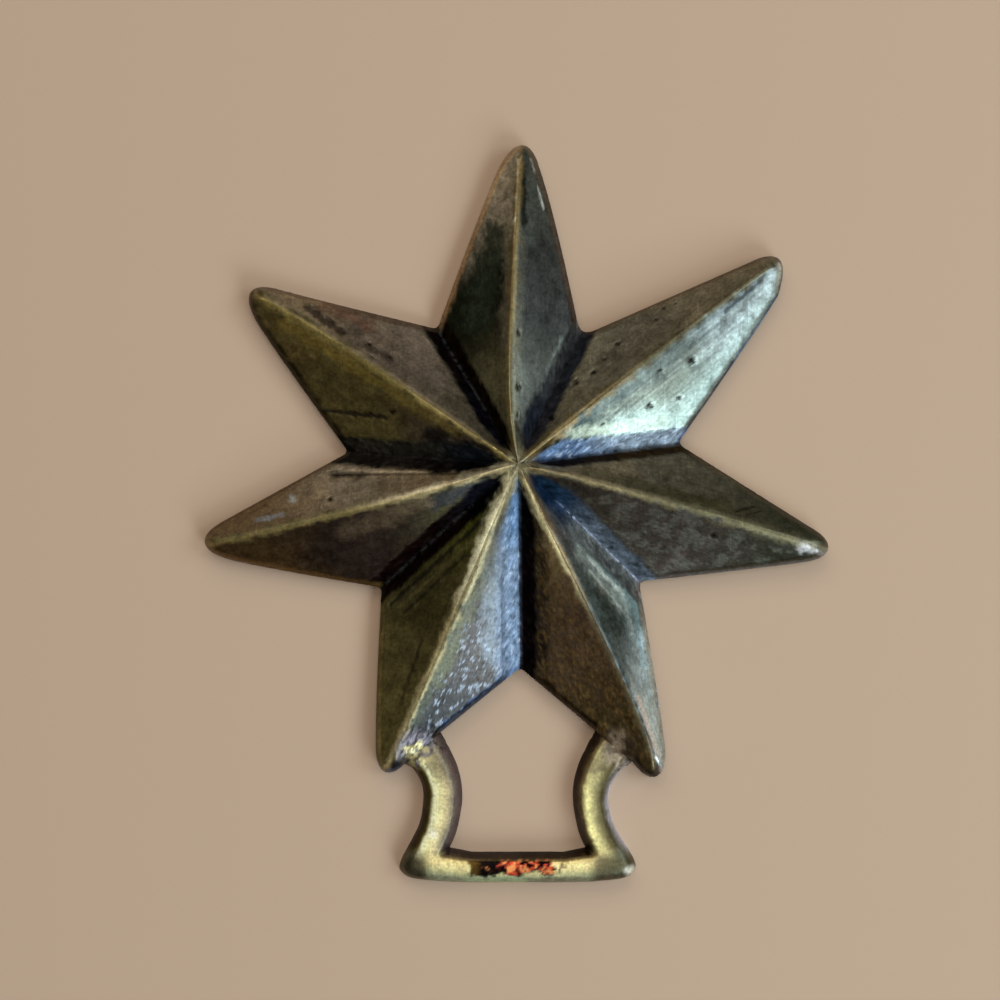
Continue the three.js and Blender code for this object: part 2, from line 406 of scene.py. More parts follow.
# %% The loop's curves
ARM_INSIDE = [(11.3, -30.3), (9.3, -32.9), (7.3, -37.1), (6.75, -40.7), (7.4, -44.6), (8.3, -46.8)]
ARM_OUTSIDE = {
    -1: [(14.9, -33.1), (14.0, -36.2), (12.6, -37.3), (11.5, -39.9), (12.0, -43.9)],
    1: [(14.9, -33.1), (14.0, -36.2), (12.5, -37.4), (11.1, -40.1), (11.7, -44.0)],
}
EAR = [(14.1, -48.0), (14.3, -49.5), (12.8, -50.5), (9.2, -50.9)]
BAR_HALF, BAR_INSIDE, BAR_OUTSIDE = 5.6, -47.35, -51.0
ARM_STEPS, BAR_STEPS, ACROSS = 90, 44, 22
# where a row of the grid meets the inner and the outer curve, counted in curve points
ROW_MEETS = [(0, 0), (1, 1), (2, 2), (3, 3), (4, 4), (4.55, 5), (4.9, 6), (5.1, 7), (5.5, 8), (6, 9)]
# the section of the loop: share of its width from the inner edge, and height in mm
SECTION = [(0, 0.3), (0.1, 1.5), (0.16, 2.4), (0.2, 2.88), (0.27, 3.0), (0.5, 2.98), (0.74, 2.8),
           (0.88, 2.35), (0.96, 1.5), (1, 0.5)]
# the arms start lower at their roots, and the grid's columns crowd towards the edges of the loop
ROOT_SHARE, CROWDING = 0.78, 0.04


def catmull(points, at):
    """A smooth curve through points, at places counted in points."""
    points = np.array(points, float)
    k = np.clip(np.floor(at).astype(int), 0, len(points) - 2)
    t = (at - k)[:, None]
    a, b, c, d = (points[np.clip(k + n, 0, len(points) - 1)] for n in (-1, 0, 1, 2))
    return 0.5 * (2 * b + (c - a) * t + (2 * a - 5 * b + 4 * c - d) * t ** 2
                  + (3 * b - a - 3 * c + d) * t ** 3)


def curve_then_line(points, at, end):
    """A smooth curve through points, and from its last point a straight line to an end."""
    last = len(points) - 1
    line = np.array(points[-1]) + (at - last)[:, None] * (np.array(end) - points[-1])
    return np.where(at[:, None] < last, catmull(points, at), line)


def loop_rows(side):
    """Inner and outer ends of the rows of one half of the loop, from its root to mid bar."""
    meets = np.array(ROW_MEETS, float)
    rows = np.linspace(0, len(meets) - 1, ARM_STEPS)
    inner, outer = (np.interp(rows, np.arange(len(meets)), meets[:, k]) for k in (0, 1))
    inside = curve_then_line(ARM_INSIDE, inner, (BAR_HALF, BAR_INSIDE))
    outside = curve_then_line([*ARM_OUTSIDE[side], *EAR], outer, (BAR_HALF, BAR_OUTSIDE))
    return inside * (side, 1), outside * (side, 1)


def loop_grid():
    """The points of the loop's face, as rows from its inner edge to its outer one."""
    bar = np.linspace(-BAR_HALF, BAR_HALF, BAR_STEPS)[1:-1]
    inside, outside = (
        np.concatenate([left, np.column_stack([bar, np.full_like(bar, y)]), right[::-1]])
        for left, right, y in zip(loop_rows(-1), loop_rows(1), (BAR_INSIDE, BAR_OUTSIDE)))
    share = np.linspace(0, 1, ACROSS)
    share = share + CROWDING * np.sin(4 * math.pi * share)
    plan = inside[:, None] + (outside - inside)[:, None] * share[None, :, None]
    section = np.array(SECTION)
    rise = catmull(section[:, 1:], np.interp(share, section[:, 0], np.arange(len(section))))[:, 0]
    grown = np.interp(np.arange(ARM_STEPS), [0, ARM_STEPS / 4], [ROOT_SHARE, 1])
    grown = np.concatenate([grown, np.ones(BAR_STEPS - 2), grown[::-1]])
    return np.concatenate([plan, (grown[:, None] * rise)[..., None]], 2)


rows_of_loop = loop_grid()
print("the loop has", rows_of_loop.shape[0], "rows of", rows_of_loop.shape[1], "points")

# %% Make the loop
steps = np.array([ACROSS, len(rows_of_loop)]) - 1
bpy.ops.mesh.primitive_grid_add(x_subdivisions=int(steps[0]), y_subdivisions=int(steps[1]), size=2)
loop = bpy.context.object
loop.name = loop.data.name = "strap_loop"
flat = points_of(loop)[:, :2]
column, row = np.rint((flat + 1) / 2 * steps).astype(int).T
set_points(loop, rows_of_loop[row, column])
edge_of_grid = (np.abs(flat) > 1 - CLOSE).any(axis=1)
mode("EDIT")
select_where(loop, edge_of_grid)
extrude_down()
points = points_of(loop)
points[-edge_of_grid.sum():, 2] = 0
set_points(loop, points)
mode("EDIT")
close_body(in_triangles=True)
print("loop faces:", len(loop.data.polygons))

# %% [markdown]
# ## One casting
#
# On the real brass nothing is joined: the metal filled one mould. The star and the loop are fused
# with a Boolean union, and the hollow is taken out of the back with a difference. A founder leaves
# such a hollow to save metal and to keep thick parts from sinking as they cool.

# %% Fuse and hollow out
def boolean(obj, other, operation):
    """Adds or takes away another body, which is used up."""
    modifier = obj.modifiers.new(operation.title(), "BOOLEAN")
    modifier.object, modifier.operation, modifier.solver = other, operation, "MANIFOLD"
    select_only(obj)
    bpy.ops.object.modifier_apply(modifier=modifier.name)
    select_only(other)
    bpy.ops.object.delete()
    print(obj.name, "after", operation.lower(), "has", len(obj.data.vertices), "points")


boolean(star, loop, "UNION")
boolean(star, hollow, "DIFFERENCE")

# %% [markdown]
# ## Knowing where each point lies
#
# Wear and dirt on a casting follow its shape: ridges are rubbed bright and grooves stay black and
# rough. The light and shade painted on it below follow the shape too, such as the band along the
# rim, which is dark on some rays and a painted blue reflection on others. So before any of that is
# added, every point is asked where it is: on the face of the star, on the loop or on the back, on
# which half ray, and how far from the ridge, the valley and the edge. These distances steer the
# sculpting and the colours below.

# %% Locate every point
LEAST_WIDTH = 0.05
points, normals = points_of(star), vectors(star.data.vertex_normals, "vector")
plan = points[:, :2]
x, y = plan.T
number, r, q = locate(plan)
ridge_gap, valley_gap = np.zeros(len(r)), np.zeros(len(r))
for n, half in enumerate(HALVES):
    mine = number == n
    ridge_gap[mine], valley_gap[mine] = gaps(half, r[mine], q[mine])
edge_gap = distance_to(OUTLINE, plan)
out = np.linalg.norm(plan, axis=1)
groove_width = np.array([half["groove"] for half in HALVES])[number]
groove_width = np.minimum(groove_width, GROOVE_SHARE * (ridge_gap + valley_gap))
lip = valley_gap / np.maximum(groove_width, LEAST_WIDTH)
print("widest half groove in mm:", groove_width.max().round(2))

# %% Tell the face, the loop, the walls and the back apart
ABOVE_LOOP, LOOP_TOP = -26, -29
below_face = round_edge(plan, heights(number, r, q), r, q) - points[:, 2]
joint_gap = distance_to_joints(plan)
on_star = (r < 1.06) & (np.abs(below_face) < 0.12)
on_back = (below_face > 0.6) & (normals[:, 2] < 0.2) & (r < 0.99) & (edge_gap > 0.12)
star_wall = (edge_gap < 0.15) & (joint_gap > 2.6)
on_loop = ~on_star & ~on_back & ~star_wall & (y < LOOP_TOP) & (r > 0.8)
walls = ~on_star & ~on_loop & ~on_back
near = y < ABOVE_LOOP
inner_gap, outer_gap = (distance_to(rows_of_loop[:, k, :2], plan[near]) for k in (0, -1))
loop_share = np.zeros(len(r))
loop_share[near] = inner_gap / (inner_gap + outer_gap)
print("points on the star, loop and back:", on_star.sum(), on_loop.sum(), on_back.sum())

# %% [markdown]
# ## Wear, grain and dents
#
# A sand casting keeps the grain of its mould wherever the file and the polishing cloth did not
# reach: in the grooves, on the back and where the arms join the rays. The flanks were filed by
# hand, so they are not quite flat, and they carry pits, nicks and hammer marks. All of this is
# real relief, made by moving points along their normals by noise of the right size.

# %% Sculpting tools
def noise_at(size, seed, octaves=2, stretch=(1, 1, 1)):
    """Noise from about -1 to 1 at every point of the casting, with features of a size in mm."""
    moved = points * np.array(stretch) / size + np.array([13.7, 5.1, 29.3]) * seed
    return np.array([noise.fractal(Vector(p), 0.6, 2.0, octaves) for p in moved])


def ray_at(name, along_ray, to_left):
    """A place on the face: how far along a ray's middle line and how far to its left."""
    angle = next(ray["angle"] for ray in RAYS if ray["name"] == name)
    return polar(angle, along_ray) + polar(angle + 90, to_left)


def on_half(name, side):
    """Which points lie on one half ray. Side 1 is a ray's left half and -1 its right one."""
    keys = [(half["ray"]["name"], half["side"]) for half in HALVES]
    return number == keys.index((name, side))


def spot(centre, radius):
    """1 at a place in the plan, falling smoothly to 0 at a radius."""
    return 1 - smooth(0, radius, np.linalg.norm(plan - np.array(centre), axis=1))


print("noise at the first points:", noise_at(1.0, 1)[:3].round(2))
cloud, mottle, dust = noise_at(6.0, 11, 3), noise_at(1.6, 12, 3), noise_at(0.55, 13, 2)
streaks = np.column_stack([out / 9, ridge_gap / 0.4, 7.3 * number])
brushed = np.array([noise.fractal(Vector(p), 0.6, 2.0, 2) for p in streaks])

# %% [markdown]
# ## Marks with a place of their own
#
# Noise alone never looks like one particular object. A casting has pits where gas or sand sat in
# the mould, creases from the pattern, streaks from a file and patches where old polish stayed.
# These are listed by place, as strokes with a start, an end and a half width, so the same list
# can carve the relief and, later, stain it. A few pale strokes are no marks but painted highlights
# and reflections, where light catches a flank near its lip or its tip.

# %% Pits and strokes
# on each ray: distance along it, distance to its left, radius and depth, in mm
PITS = {
    "upper_right": [
        (24.2, -3.2, 0.5, 0.3), (20.4, -1.7, 0.35, 0.2), (16.9, -4.3, 0.45, 0.25),
        (20.3, -5.7, 0.3, 0.2), (11.0, -2.5, 0.25, 0.15), (13.9, 3.15, 0.4, 0.2),
        (15.9, 3.6, 0.3, 0.15), (18.4, 4.05, 0.35, 0.2), (23.9, 3.5, 0.25, 0.12),
        (25.5, 4.1, 0.25, 0.12), (27.0, 3.6, 0.25, 0.12), (11.6, 3.5, 0.45, 0.2),
        (6.5, 1.8, 0.4, 0.2)],
    "top": [(9.1, 0.05, 0.4, 0.25), (15.7, 0.1, 0.3, 0.2), (5.9, 0.1, 0.2, 0.1)],
    "upper_left": [
        (22.7, -2.5, 0.3, 0.2), (21.6, -1.3, 0.25, 0.15), (19.75, -2.5, 0.25, 0.15),
        (16.0, 2.9, 0.45, 0.2)],
    "left": [(22.9, -1.45, 0.35, 0.2)],
    "right": [(24.9, -2.2, 0.35, 0.2)],
}
# on each half ray: start and end (along, to the left), half width, tone, strength and relief
MARKS_AND_HIGHLIGHTS = {
    ("top", 1): [
        ((17, 5.2), (27.5, 3.0), 2.0, (60, 72, 57), 0.85, 0),
        ((14, 1.8), (36, 1.2), 0.8, (150, 146, 122), 0.5, 0)],
    ("top", -1): [
        ((4, 0.5), (27, 0.1), 0.8, (98, 95, 80), 0.6, 0),
        ((29, -0.3), (36, -0.1), 0.45, (24, 23, 20), 0.85, 0),
        # painted highlights near the tip
        ((31, -2.7), (33.6, -2.0), 0.18, (235, 240, 228), 0.8, 0),
        ((35.5, -1.6), (37, -1.1), 0.15, (235, 240, 228), 0.7, 0),
        ((6, -1.5), (15, -5.2), 0.45, (135, 141, 131), 0.6, 0)],
    ("upper_right", -1): [
        ((7.4, -1.3), (17.0, -6.9), 0.9, (176, 184, 160), 0.4, 0),
        ((31, -0.8), (37, -0.6), 0.28, (47, 57, 71), 0.7, 0),
        ((30, -1.6), (37.5, -1.1), 0.35, (182, 194, 189), 0.7, 0)],
    ("upper_left", -1): [
        ((26.5, -1.9), (31.5, -2.1), 0.6, (38, 32, 30), 0.8, -0.03),
        ((19.5, -2.4), (23, -2.0), 0.5, (44, 38, 34), 0.55, 0),
        ((24, -4.5), (30, -3.4), 0.8, (126, 86, 70), 0.4, 0)],
    ("upper_left", 1): [
        ((8, 0.9), (33, 0.9), 0.9, (217, 194, 93), 0.3, 0),
        ((16.4, 4.0), (23.1, 7.2), 0.35, (49, 43, 38), 0.85, -0.12),
        ((1, 1.0), (9.5, 3.2), 2.0, (41, 39, 38), 0.9, 0)],
    ("left", -1): [
        ((7.3, -0.75), (22.1, -4.35), 0.22, (44, 38, 32), 0.55, -0.05),
        ((18.5, -3.5), (22, -4.5), 0.55, (52, 47, 41), 0.7, -0.08),
        ((11, -1.75), (21, -4.6), 0.3, (180, 166, 142), 0.3, 0.02),
        ((29, -1.1), (32.2, -1.1), 0.35, (150, 164, 176), 0.6, 0),
        ((27.3, -2.6), (27.5, -2.6), 0.5, (188, 198, 194), 0.8, 0)],
    ("left", 1): [
        ((3.5, 0.9), (11, 2.2), 1.0, (66, 74, 92), 0.45, 0),
        ((12, 1.8), (22, 2.8), 1.3, (121, 104, 80), 0.7, 0)],
    ("lower_left", -1): [
        ((8.2, -1.4), (21.8, -7.4), 0.3, (38, 38, 34), 0.8, -0.03),
        ((10.4, -1.3), (21.5, -6.3), 0.22, (150, 142, 96), 0.35, 0),
        ((12.6, -1.5), (22, -5.5), 0.2, (46, 45, 37), 0.7, 0),
        ((24, -2.2), (32, -1.6), 0.25, (42, 40, 34), 0.6, 0)],
    ("lower_left", 1): [
        # a painted reflection of the window beside the valley
        ((12.3, 1.9), (22.4, 6.2), 1.3, (124, 138, 146), 0.3, 0),
        ((12, 1.4), (28, 1.4), 1.0, (80, 80, 61), 0.4, 0)],
    ("lower_right", -1): [
        ((6.4, -0.6), (22.9, -7.4), 1.5, (39, 36, 32), 0.85, 0)],
    ("lower_right", 1): [
        # painted highlights of window light beside the lip
        ((13, 2.7), (21, 4.6), 1.1, (205, 212, 196), 0.4, 0),
        ((14, 3.1), (19.5, 5.2), 0.22, (252, 254, 240), 0.6, 0),
        ((19.5, 5.1), (27, 3.8), 0.4, (205, 218, 210), 0.45, 0),
        ((15, 2.6), (21, 4.3), 0.16, (240, 244, 228), 0.5, 0),
        ((22, 1.35), (30, 1.2), 0.2, (28, 27, 23), 0.4, 0),
        # a painted highlight along the nose
        ((31.5, 1.85), (39.6, 1.0), 0.3, (255, 255, 250), 0.85, 0)],
    ("right", 1): [
        ((8, 1.3), (26, 1.4), 0.8, (80, 80, 55), 0.6, 0),
        ((26.5, 1.2), (29, 2.7), 0.12, (39, 37, 30), 0.8, -0.04),
        ((27.6, 1.0), (29.9, 2.3), 0.12, (39, 37, 30), 0.8, -0.04)],
    ("right", -1): [
        # a painted highlight on the nose
        ((36, -0.2), (38.3, 0), 0.9, (255, 255, 255), 0.8, 0)],
}


def stroke(name, side, start, end, width):
    """1 along a ragged stroke on one half ray, 0 elsewhere."""
    a, b = ray_at(name, *start), ray_at(name, *end)
    t = np.clip((plan - a) @ (b - a) / ((b - a) @ (b - a)), 0, 1)
    gap = np.linalg.norm(plan - a - t[:, None] * (b - a), axis=1) / width
    ragged = gap + 0.45 * mottle + 0.4 * dust
    return (1 - smooth(0.4, 1.25, ragged)) * on_star * on_half(name, side)


strokes = []
for half, marks in MARKS_AND_HIGHLIGHTS.items():
    for start, end, width, *look in marks:
        strokes.append((stroke(*half, start, end, width), *look))
pits, dots = np.zeros(len(r)), np.zeros(len(r))
for name, rows in PITS.items():
    for along_ray, to_left, radius, depth in rows:
        centre = ray_at(name, along_ray, to_left)
        pits = np.maximum(pits, depth * on_star * spot(centre, radius * 1.3))
        dots = np.maximum(dots, on_star * spot(centre, radius * 1.5))
print(sum(len(rows) for rows in PITS.values()), "pits and", len(strokes), "strokes")

# %% Pits, dents and grain
groove_mask = on_star * (1 - smooth(0.75, 1.15, lip))
hammered = on_star * on_half("lower_left", 1) * smooth(15, 23, out)
hammered = hammered * smooth(1.0, 2.4, ridge_gap + 0.5 * mottle)
root = (on_star | on_loop) * smooth(-36.5, -33.5, y) * (1 - smooth(-32.5, -30, y)) * (np.abs(x) < 15)
move = -0.6 * pits
for mask, _, _, relief in strokes:
    move += relief * mask
move += on_star * (0.045 * noise_at(7.0, 1) + 0.018 * noise_at(2.2, 2)) * (1 - 0.8 * groove_mask)
move += groove_mask * 0.06 * noise_at(0.7, 3) * smooth(0.5, 3, out)
move += hammered * 0.035 * noise_at(0.6, 4)
move += root * 0.14 * noise_at(1.3, 5, 3)
move += on_loop * (0.04 * noise_at(3.0, 6) + 0.015 * noise_at(0.7, 7))
move += on_back * 0.06 * noise_at(0.9, 8, 3)
ridge_mask = on_star * np.exp(-(ridge_gap / 0.45) ** 2) * smooth(2, 5, out)
move -= ridge_mask * 0.03 * np.clip(noise_at(1.2, 9) - 0.1, 0, 1)
beaded = on_star * (on_half("lower_right", 1) | on_half("right", -1))
move += beaded * 0.14 * np.exp(-(valley_gap / 0.28) ** 2) * smooth(5, 8, out)
points = points + normals * (move * (edge_gap > 0.02))[:, None]
points[:, 2] = np.clip(points[:, 2], 0, HUB_HEIGHT)
set_points(star, points)
print("sculpted by", move.min().round(2), "to", move.max().round(2), "mm")

# %% [markdown]
# ## Painting the colours and the light
#
# Brass browns, blackens and greens with age, and a hand that wipes it brightens what stands out.
# Each half ray has its own tones, near the hub, half way and near the tip, and two for its side of
# the groove. They are partly painted light: the flanks differ in brightness as each looks from its
# own angle, and the halves that face the window carry pale blue and white painted reflections.
# Painted shade beside some ridges and painted highlights beside some lips and tips come on top.
# The tones are blended by the distances, broken up by noise, and stored on the points as a colour
# layer. A second layer holds roughness, grain and how much bare metal shows.

# %% The tones
def tone(red, green, blue):
    """A screen colour from 0 to 255 as linear light."""
    c = np.array([red, green, blue]) / 255
    return np.where(c <= 0.04045, c / 12.92, ((c + 0.055) / 1.055) ** 2.4)


# half ray: tones near the hub, half way and near the tip, tones of the groove near the hub and near
# the rim, roughness, and how thick the black speckles lie; then tones of the ridge near the hub and
# near the tip, its half widths there, and the width, the tone and the strength of the rim's band.
# The tones are partly the brass's own colours and partly painted light: the flanks differ in
# brightness as each looks from its own angle, and the halves that face the window have pale blue
# and white painted reflections near the tip, in the groove and on the rim.
PATINA_AND_PAINTED_LIGHT = {
    ("upper_right", -1): (
        (18, 30, 26), (134, 140, 124), (232, 248, 244), (108, 132, 164), (154, 168, 180), 0.34, 0.25,
        (113, 93, 50), (89, 80, 48), 0.7, 0.55, 0.4, (40, 50, 90), 0.8),
    ("upper_right", 1): (
        (120, 116, 96), (118, 116, 100), (124, 120, 100), (54, 54, 60), (48, 52, 60), 0.42, 0.3,
        (106, 94, 54), (74, 66, 32), 0.6, 0.34, 0.4, (90, 80, 66), 0.6),
    ("top", -1): (
        (88, 88, 80), (68, 68, 64), (90, 94, 84), (36, 40, 48), (68, 68, 68), 0.36, 0.2,
        (89, 83, 57), (118, 98, 53), 0.45, 0.4, 0.8, (110, 98, 88), 0.6),
    ("top", 1): (
        (126, 124, 92), (34, 38, 26), (212, 204, 178), (26, 20, 6), (28, 18, 6), 0.36, 0.2,
        (112, 98, 58), (104, 88, 48), 0.9, 0.85, 0.7, (165, 140, 105), 0.7),
    ("upper_left", -1): (
        (96, 90, 76), (108, 100, 88), (148, 136, 112), (12, 12, 20), (16, 10, 8), 0.42, 0.25,
        (86, 74, 42), (86, 76, 35), 0.45, 0.7, 0.5, (95, 80, 66), 0.6),
    ("upper_left", 1): (
        (104, 92, 72), (118, 108, 64), (124, 112, 68), (24, 28, 32), (56, 52, 42), 0.4, 0.6,
        (182, 164, 98), (134, 119, 63), 0.5, 0.7, 0.9, (16, 14, 11), 0.85),
    ("left", -1): (
        (136, 122, 96), (136, 126, 106), (126, 108, 80), (6, 6, 10), (36, 32, 28), 0.42, 0.25,
        (193, 185, 152), (104, 96, 55), 0.5, 0.55, 0.4, (80, 68, 52), 0.6),
    ("left", 1): (
        (84, 80, 54), (60, 48, 40), (92, 72, 44), (18, 20, 28), (20, 8, 6), 0.42, 0.6,
        (197, 180, 130), (134, 119, 70), 0.5, 0.55, 0.6, (110, 86, 46), 0.6),
    ("lower_left", -1): (
        (88, 92, 38), (96, 92, 56), (134, 128, 80), (6, 6, 8), (20, 8, 6), 0.36, 0.3,
        (255, 252, 208), (170, 156, 111), 0.9, 0.5, 0.5, (40, 36, 20), 0.6),
    ("lower_left", 1): (
        (108, 104, 90), (70, 67, 64), (46, 46, 45), (120, 152, 188), (140, 160, 184), 0.34, 0.3,
        (166, 155, 116), (136, 121, 79), 0.9, 0.5, 0.7, (50, 78, 118), 0.7),
    ("lower_right", -1): (
        (188, 168, 120), (120, 100, 76), (100, 84, 52), (8, 6, 6), (16, 6, 6), 0.42, 0.8,
        (255, 246, 186), (102, 93, 66), 0.55, 0.45, 0.9, (16, 14, 11), 0.85),
    ("lower_right", 1): (
        (112, 110, 106), (76, 84, 76), (218, 244, 250), (28, 49, 76), (106, 108, 104), 0.34, 0.35,
        (128, 104, 66), (57, 47, 29), 0.6, 0.45, 0.6, (140, 112, 100), 0.4),
    ("right", -1): (
        (78, 70, 60), (76, 68, 60), (64, 64, 52), (36, 60, 84), (108, 120, 132), 0.42, 0.6,
        (164, 150, 106), (112, 105, 71), 0.4, 0.75, 0.35, (140, 150, 160), 0.5),
    ("right", 1): (
        (140, 130, 106), (98, 96, 80), (68, 72, 56), (22, 18, 18), (48, 34, 12), 0.42, 0.6,
        (111, 101, 74), (90, 86, 61), 0.4, 0.75, 0.4, (70, 64, 50), 0.6),
}
# tone and strength of a thin line along the bottom of the groove to the left of a ray
VALLEY_LINES = {
    "top": ((96, 98, 104), 0.6), "upper_left": ((60, 60, 62), 0.5), "left": ((100, 100, 100), 0.6),
    "lower_right": ((176, 184, 206), 0.6),
}
LINES = {}
for ray, next_ray in zip(RAYS, RAYS[1:] + RAYS[:1]):
    if ray["name"] in VALLEY_LINES:
        LINES[ray["name"], 1] = LINES[next_ray["name"], -1] = VALLEY_LINES[ray["name"]]
# half ray: tone of the painted shade beside the ridge, where the flank's painted gradient of light
# begins, its strength and how far across the flank it reaches
RIDGE_SIDE_SHADE = {
    ("upper_right", -1): ((82, 92, 90), 0.8, 0.75), ("lower_left", 1): ((80, 84, 66), 0.6, 0.45),
    ("lower_right", 1): ((108, 122, 118), 0.6, 0.5), ("right", 1): ((78, 76, 50), 0.5, 0.5),
}
# half ray: tone of the painted highlight beside the lip and the rim, its strength and where it
# starts across the flank
LIP_SIDE_HIGHLIGHTS = {
    ("upper_right", -1): ((196, 220, 208), 0.7, 0.4), ("lower_right", 1): ((190, 222, 220), 0.22, 0.45),
}
BLACK = tone(14, 12, 12)
print("tones for", len(PATINA_AND_PAINTED_LIGHT), "half rays")

# %% Paint the star
def mix(colour, other, share):
    share = np.clip(np.asarray(share, float), 0, 1)
    share = share[:, None] if share.ndim else share
    return colour * (1 - share) + np.asarray(other) * share


def lay(ground, colour, share):
    """Lays a colour over painted ground, as strongly as the share says at each point."""
    ground[:] = mix(ground, colour, share)


def per_half(table, blank=(), of=number):
    """Every column of a table of half rays, as a value or a tone for each point."""
    columns = zip(*(table.get((half["ray"]["name"], half["side"]), blank) for half in HALVES))
    return [np.array([tone(*v) if isinstance(v, tuple) else v for v in column])[of] for column in columns]


# distances from the hub in mm between which one tone turns into the next
TO_HALF_WAY, TO_TIP = (10, 18), (22, 33)
near_hub, half_way, near_tip, _, _, rough, speck, *ridge_and_rim = per_half(PATINA_AND_PAINTED_LIGHT)
colour = mix(near_hub, half_way, smooth(*TO_HALF_WAY, out + 3 * cloud))
lay(colour, near_tip, smooth(*TO_TIP, out + 3 * cloud))
calm = 1 - 0.5 * on_half("upper_right", -1)
colour = colour * (1 + calm * (0.22 * cloud + 0.2 * mottle + 0.1 * dust) + 0.14 * brushed)[:, None]
flank_left = np.minimum((valley_gap - groove_width).clip(0), edge_gap)
across_flank = ridge_gap / np.maximum(ridge_gap + flank_left, LEAST_WIDTH)
# painted shade on the ridge side of each flank, fading out across it
ridge_shade_tone, ridge_shade_share, ridge_shade_reach = per_half(RIDGE_SIDE_SHADE, ((0, 0, 0), 0, 1))
shade_falloff = smooth(0, 1, across_flank / ridge_shade_reach + 0.1 * mottle + 0.3 * brushed)
ridge_shade_tone = ridge_shade_tone * (1 + 0.2 * mottle + 0.2 * brushed)[:, None]
lay(colour, ridge_shade_tone, ridge_shade_share * (1 - shade_falloff))
# painted highlight towards the lip and the rim
highlight_tone, highlight_share, highlight_from = per_half(LIP_SIDE_HIGHLIGHTS, ((0, 0, 0), 0, 0))
highlighted = smooth(0, 1, (across_flank - highlight_from) / 0.5 + 0.2 * brushed) * smooth(9, 15, out)
lay(colour, highlight_tone, highlight_share * highlighted)
# lays the marks, and the pale strokes that are painted highlights and reflections
for mask, stroke_tone, strength, _ in strokes:
    lay(colour, tone(*stroke_tone) * (1 + 0.2 * dust)[:, None], strength * mask)
golden = on_star * on_half("lower_right", -1) * smooth(4, 10, out)
lay(colour, tone(206, 172, 104), 0.28 * golden * smooth(0.1, 0.45, -dust - 0.3 * mottle))
patches = on_star * on_half("right", -1) * smooth(0.05, 0.3, mottle)
lay(colour, tone(132, 138, 122), 0.25 * patches)
speckles = speck * smooth(0.18, 0.5, dust + 0.5 * mottle)
lay(colour, BLACK, 0.75 * speckles)
print("flank tones:", colour[on_star].mean(0).round(3))

# %% Paint grooves, ridges and rim
soft = 0.4 * on_half("lower_left", 1)
in_groove = 1 - smooth(0.8 - soft, 1.12 + soft, lip + 0.16 * mottle + 0.1 * dust)
twin = np.array([(n + half["side"]) % len(HALVES) for n, half in enumerate(HALVES)])


def groove_tones(numbers):
    near_hub, near_rim = per_half(PATINA_AND_PAINTED_LIGHT, of=numbers)[3:5]
    return mix(near_hub, near_rim, smooth(6, 13, out + 2 * cloud))


# the blue groove tones of the halves that face the window are painted reflections; the dark ones are the
# brass blackened in its hollows
across_valley = 0.5 * (1 - smooth(0, 0.35, valley_gap))
groove_tone = mix(groove_tones(number), groove_tones(twin[number]), across_valley)
groove_tone = groove_tone * (1 + 0.5 * mottle + 0.5 * dust)[:, None]
lay(colour, groove_tone, in_groove)
line_tone, line_share = per_half(LINES, ((0, 0, 0), 0))
on_line = np.exp(-(valley_gap / 0.16) ** 2) * smooth(5, 9, out) * smooth(-0.3, 0.05, dust)
lay(colour, line_tone, line_share * on_line)
# painted glitter: blue-white glints of window light in the grooves of the two halves that face it, and
# fainter on the hammered flank
window_lit_halves = on_half("upper_right", -1) | on_half("lower_left", 1)
painted_glitter = on_star * np.maximum(in_groove * window_lit_halves, 0.35 * hammered)
lay(colour, tone(205, 218, 232), 0.7 * painted_glitter * smooth(0.3, 0.55, dust))

ridge_in, ridge_out, width_in, width_out, rim_width, rim_tone, rim_share = ridge_and_rim
ridge_tone = mix(ridge_in, ridge_out, smooth(10, 22, out))
ridge_width = width_in + (width_out - width_in) * smooth(10, 26, out)
ridge_width = np.maximum(ridge_width, 0.6 * (1 - smooth(3, 6, out)))
on_ridge = 1 - smooth(0.2, 1.5, ridge_gap / ridge_width + 0.8 * mottle + 0.4 * dust)
lay(colour, ridge_tone * (1 + 0.35 * mottle + 0.2 * dust)[:, None], 0.92 * on_ridge)
# a band along the rim: dark on some rays, and a painted blue reflection on the rays that face the window
on_rim = 1 - smooth(0.5, 1.2, edge_gap / rim_width + 0.4 * mottle)
lay(colour, rim_tone, rim_share * on_rim * (joint_gap > 3))
hub_gap = np.linalg.norm(plan / (1.2, 2.0), axis=1) + 0.2 * mottle
lay(colour, tone(128, 120, 90), 0.9 * (1 - smooth(0.75, 1.15, hub_gap)))
lay(colour, BLACK, 0.92 * smooth(0.28, 0.6, dots + 0.35 * dust))
print("mean tone of the star:", colour[on_star].mean(0).round(3))

# %% [markdown]
# ## The loop, the walls and the back
#
# The loop was never filed smooth. It keeps a matt, pale oxide that reads as dull yellow and green
# instead of polished metal. Across its section the tones are painted light and shade: a bright
# crown between darker walls, and a pale blue painted reflection on the outer wall of the right
# arm. A crusty stain on the bar goes from scorched black to orange. The back is as cast: brown
# and grainy, with green where damp stays.

